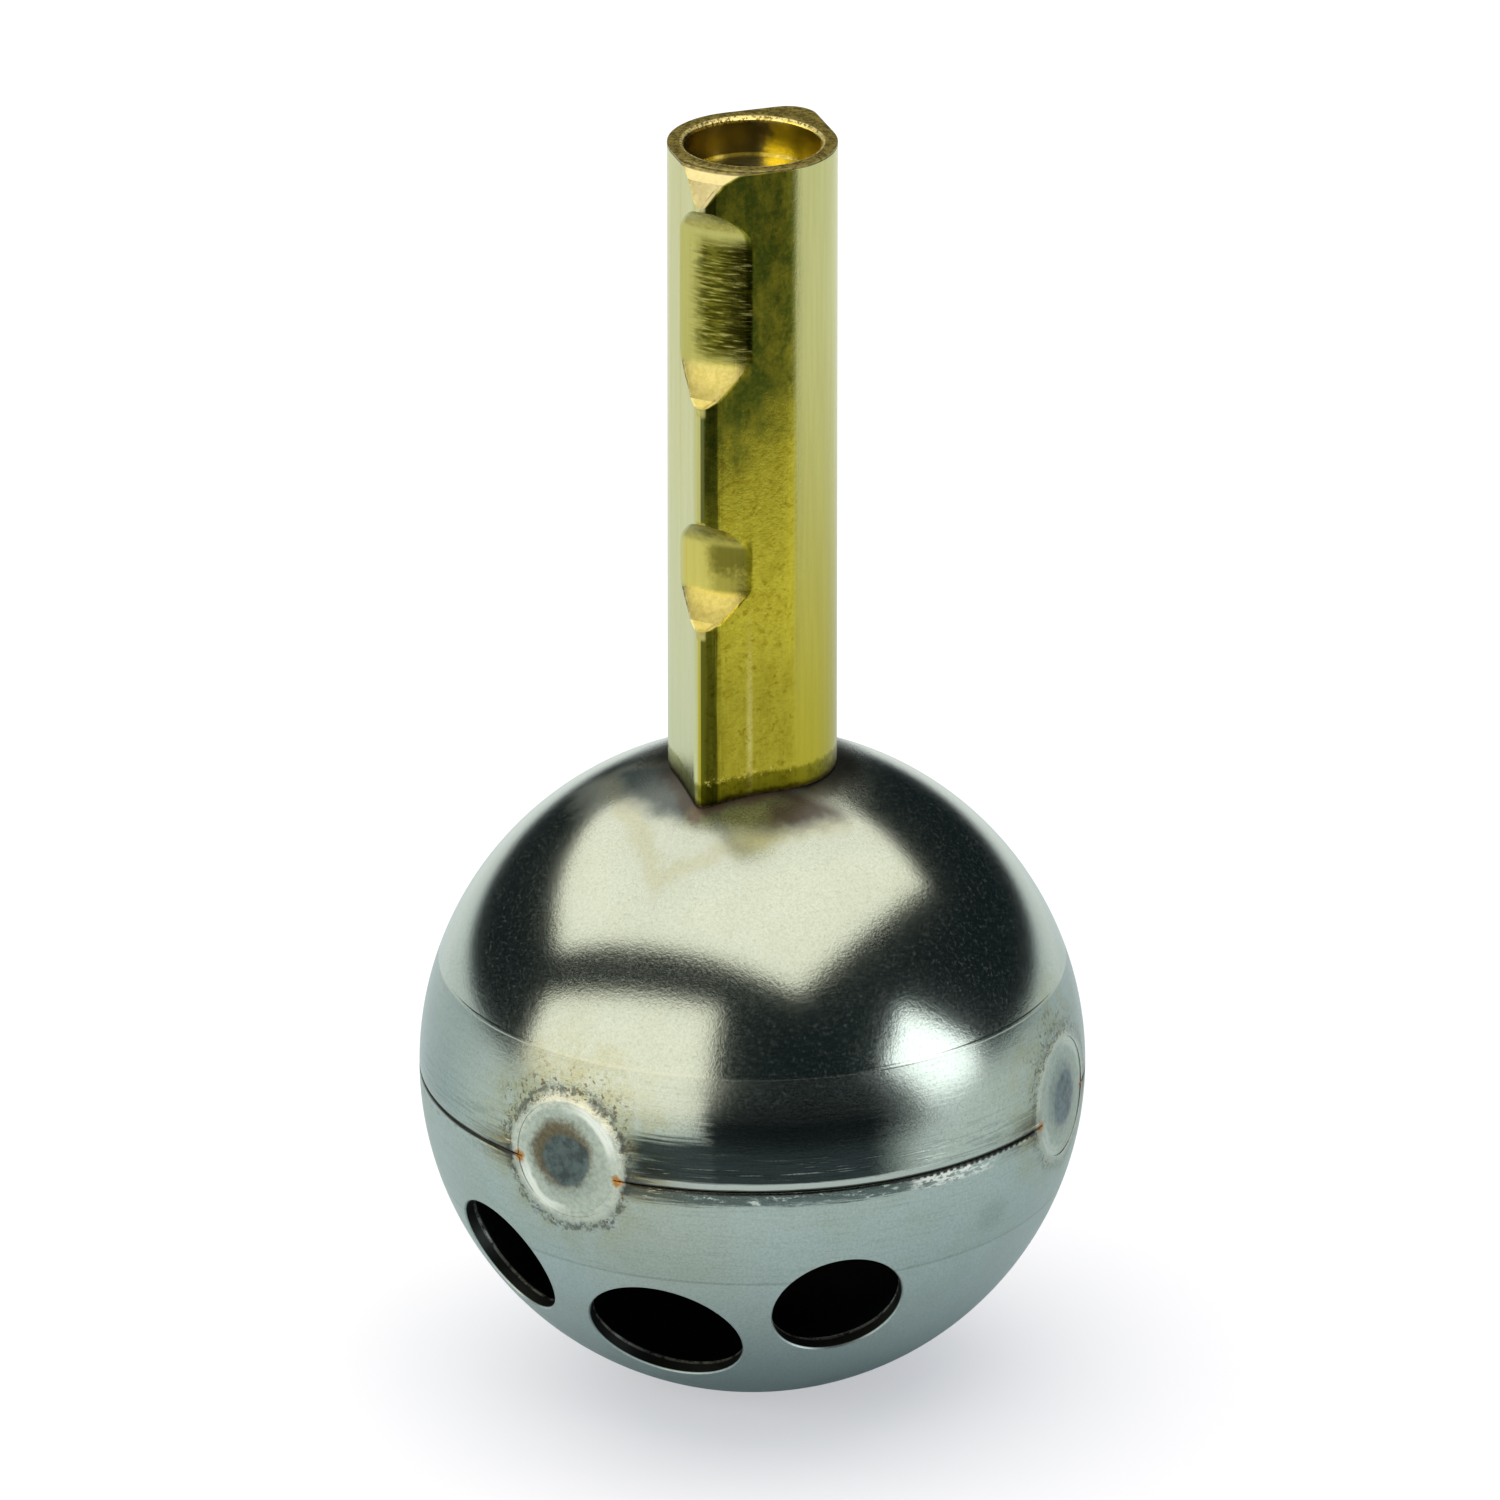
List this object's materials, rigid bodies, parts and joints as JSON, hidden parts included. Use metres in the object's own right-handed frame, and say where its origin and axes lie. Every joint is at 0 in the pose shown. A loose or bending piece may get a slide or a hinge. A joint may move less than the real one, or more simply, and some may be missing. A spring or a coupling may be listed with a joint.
{
  "type": "faucet control ball",
  "caption": "Hollow metal ball of two welded shells with water ports below its seam, and an upright brass stem with a sharp ridge, notches across it and a bored end.",
  "frame": {"origin": "centre of the ball", "axes": "+Z along the stem, away from the ball; the stem's sharp ridge, where the handle's set screw bites, faces -Y; +X completes the right-handed frame"},
  "size_m": [0.0254, 0.0254, 0.0501],
  "materials": {
    "stainless": "polished, with fine turning lines above the seam",
    "brass": "drawn bar, satin, slightly tarnished",
    "braze": "dull olive braze alloy",
    "weld": "heat-tinted steel"
  },
  "bodies": {
    "root": {"upper_shell": "stainless", "lower_shell": "stainless", "seam_ring": "stainless", "stem": "brass", "braze_film": "braze", "weld_spot_1": "weld", "weld_spot_2": "weld", "weld_spot_3": "weld", "weld_spot_4": "weld"}
  },
  "joints": []
}
